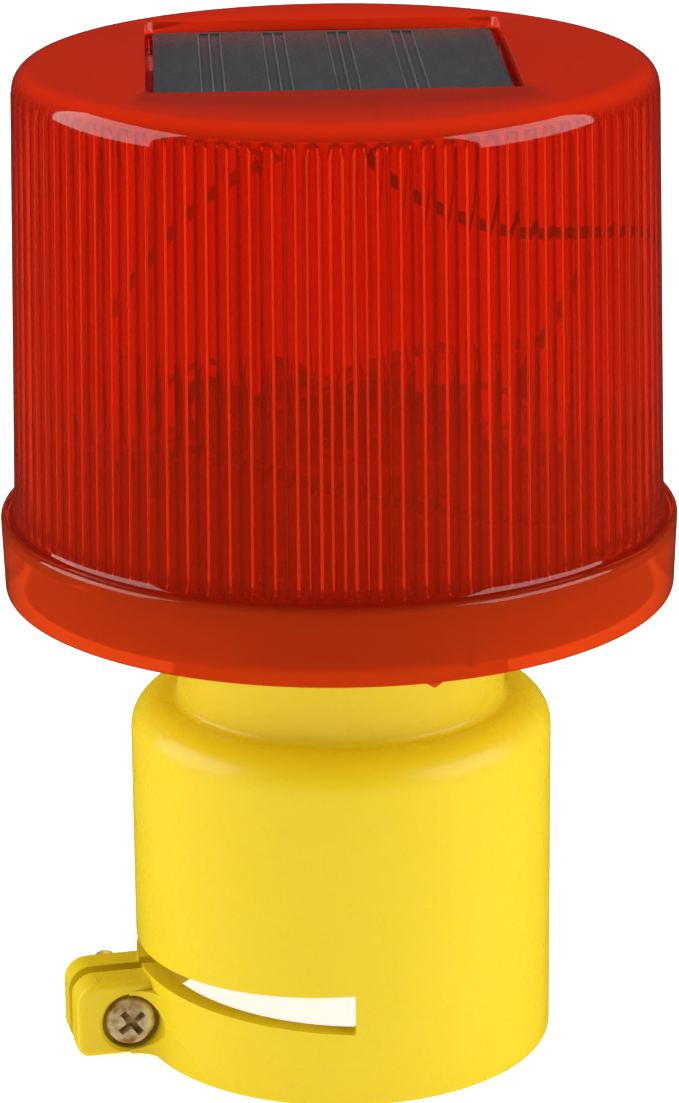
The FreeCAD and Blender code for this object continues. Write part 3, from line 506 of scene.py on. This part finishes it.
# ---------------------------------------------------------------- panel leads, in millimetres
LEAD_R = 0.8
RED_ROUTE = [
    (-1.8, 0.6, 146.45), (-1.8, 1.2, 139.0), (-7.0, 12.0, 131.5), (-19.0, 24.0, 124.0),
    (-31.0, 20.0, 114.0), (-37.5, 8.0, 104.0), (-37.5, -7.0, 98.0), (-31.0, -19.0, 97.5),
    (-18.5, -25.0, 101.0), (-4.5, -21.0, 107.0), (7.5, -11.0, 109.0), (15.5, -1.0, 108.0),
    (16.9, 7.0, 104.5), (16.9, 7.0, 95.6)]
BLACK_ROUTE = [
    (1.8, -0.6, 146.45), (1.8, -1.4, 139.0), (4.5, -9.0, 136.0), (12.0, -20.0, 133.0),
    (24.0, -25.0, 130.0), (34.0, -17.0, 128.5), (38.5, -3.0, 125.0), (36.5, 10.0, 116.0),
    (33.0, 18.0, 106.0), (28.2, 25.0, 96.5), (29.5, 23.0, 89.5), (33.0, 16.5, 86.0),
    (37.0, 3.0, 85.5), (36.0, -12.0, 86.0), (27.0, -27.0, 88.5), (11.0, -36.0, 94.0),
    (-7.0, -36.5, 98.5), (-22.0, -29.0, 103.0), (-20.5, -15.0, 107.5), (-16.0, -7.0, 103.5),
    (-16.0, -7.0, 95.6)]


def lead(name, route, slot, node):
    """Insulated lead on a smooth curve guided by its route's corners."""
    curve = bpy.data.curves.new(name + "_line", "CURVE")
    curve.dimensions = "3D"
    curve.resolution_u = 10
    curve.bevel_depth = LEAD_R * MM
    curve.bevel_resolution = 4
    curve.use_fill_caps = True
    spline = curve.splines.new("NURBS")
    spline.points.add(len(route) - 1)
    for point, place in zip(spline.points, route):
        point.co = (*(c * MM for c in place), 1.0)
    spline.order_u = 3
    spline.use_endpoint_u = True
    line = add_object(name + "_line", curve)
    bpy.context.view_layer.update()
    mesh = bpy.data.meshes.new_from_object(line)
    mesh.name = name
    piece = add_object(name, mesh)
    bpy.data.objects.remove(line)
    mesh.shade_smooth()
    paint(piece, slot)
    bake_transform(piece)
    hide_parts(node)


lead("panel_lead_red", RED_ROUTE, "red_wire", "red_panel_lead")
lead("panel_lead_black", BLACK_ROUTE, "black_wire", "black_panel_lead")


# ---------------------------------------------------------------- stage, lights and camera, in metres
TOP_GLOW, SIDE_GLOW, FRONT_GLOW, BACK_GLOW = 0.95, 0.95, 0.0, 0.30
MIRRORED_GLOW, THROUGH_GLOW = 0.02, 2.0
# parts of a direction's x, y and z between which the tent's glow changes
SIDE_STEP, BACK_STEP, TOP_STEP = (0.30, 0.80), (-0.3, 0.3), (0.60, 0.92)
BOX_POWER = 8.5
BOX_SIZE = (1.1, 0.9)
BOX_TARGET = (0, 0, 0.10)
LEFT_BOX_AT = (-1.08, 0.0, 0.52)
RIGHT_BOX_AT = (1.0, -0.28, 0.56)
FLOOR_HALF = 3.0
FLOOR_COLOUR = (0.80, 0.80, 0.80, 1.0)
FLOOR_ROUGHNESS = 0.9
FLOOR_GLOW = 0.80

CAMERA_AT = (0.0, -0.600, 0.271)
CAMERA_PITCH = 0.3145  # radians below the horizon
CAMERA_ROLL = math.radians(-0.5)
FOCAL_PIXELS, PHOTO_HEIGHT = 4243.0, 1103.0
SENSOR = 36.0  # millimetres


def make_floor():
    paint_shader = Shader("floor_paint")
    paint_shader.set(Base_Color=FLOOR_COLOUR, Roughness=FLOOR_ROUGHNESS, Emission_Color=WHITE,
                     Emission_Strength=FLOOR_GLOW)
    mesh = bpy.data.meshes.new("floor")
    corners = [(-FLOOR_HALF, -FLOOR_HALF, 0), (FLOOR_HALF, -FLOOR_HALF, 0),
               (FLOOR_HALF, FLOOR_HALF, 0), (-FLOOR_HALF, FLOOR_HALF, 0)]
    mesh.from_pydata(corners, [], [(0, 1, 2, 3)])
    mesh.materials.append(paint_shader.material)
    floor = add_object("floor", mesh)
    floor.visible_glossy = False


def make_world():
    """A wide tent: bright overhead and at both sides, dim in front, and hardly mirrored."""
    world = bpy.data.worlds.new("studio")
    bpy.context.scene.world = world
    world.use_nodes = True
    g = Graph(world.node_tree)
    background = g.tree.nodes["Background"]
    background.inputs["Color"].default_value = WHITE
    split = g.node("ShaderNodeSeparateXYZ")
    g.feed(split.inputs["Vector"], g.node("ShaderNodeTexCoord").outputs["Generated"])
    side = g.remap(g.maths("ABSOLUTE", split.outputs["X"]), *SIDE_STEP, 0.0, 1.0)
    ends = g.remap(split.outputs["Y"], *BACK_STEP, FRONT_GLOW, BACK_GLOW)
    top = g.remap(split.outputs["Z"], *TOP_STEP, 0.0, 1.0)
    tent = g.mix(top, g.mix(side, ends, SIDE_GLOW), TOP_GLOW)
    path = g.node("ShaderNodeLightPath")
    seen_through = g.mix(path.outputs["Is Transmission Ray"], tent, THROUGH_GLOW)
    g.feed(background.inputs["Strength"], g.mix(path.outputs["Is Glossy Ray"], seen_through, MIRRORED_GLOW))


def soft_box(name, place):
    data = bpy.data.lights.new(name, "AREA")
    data.shape = "RECTANGLE"
    data.size, data.size_y = BOX_SIZE
    data.energy = BOX_POWER
    light = add_object(name, data)
    light.location = place
    light.rotation_euler = (Vector(BOX_TARGET) - Vector(place)).to_track_quat("-Z", "Y").to_euler()


def make_camera():
    data = bpy.data.cameras.new("camera")
    data.sensor_fit = "VERTICAL"
    data.sensor_height = SENSOR
    data.lens = FOCAL_PIXELS / PHOTO_HEIGHT * SENSOR
    data.clip_start = 0.05
    data.clip_end = 20.0
    camera = add_object("camera", data)
    camera.location = CAMERA_AT
    aim = Matrix.Rotation(math.radians(90) - CAMERA_PITCH, 3, "X") @ Matrix.Rotation(CAMERA_ROLL, 3, "Z")
    camera.rotation_euler = aim.to_euler()
    bpy.context.scene.camera = camera
    bpy.context.scene.view_settings.view_transform = "Standard"


make_floor()
make_world()
soft_box("left_box", LEFT_BOX_AT)
soft_box("right_box", RIGHT_BOX_AT)
make_camera()
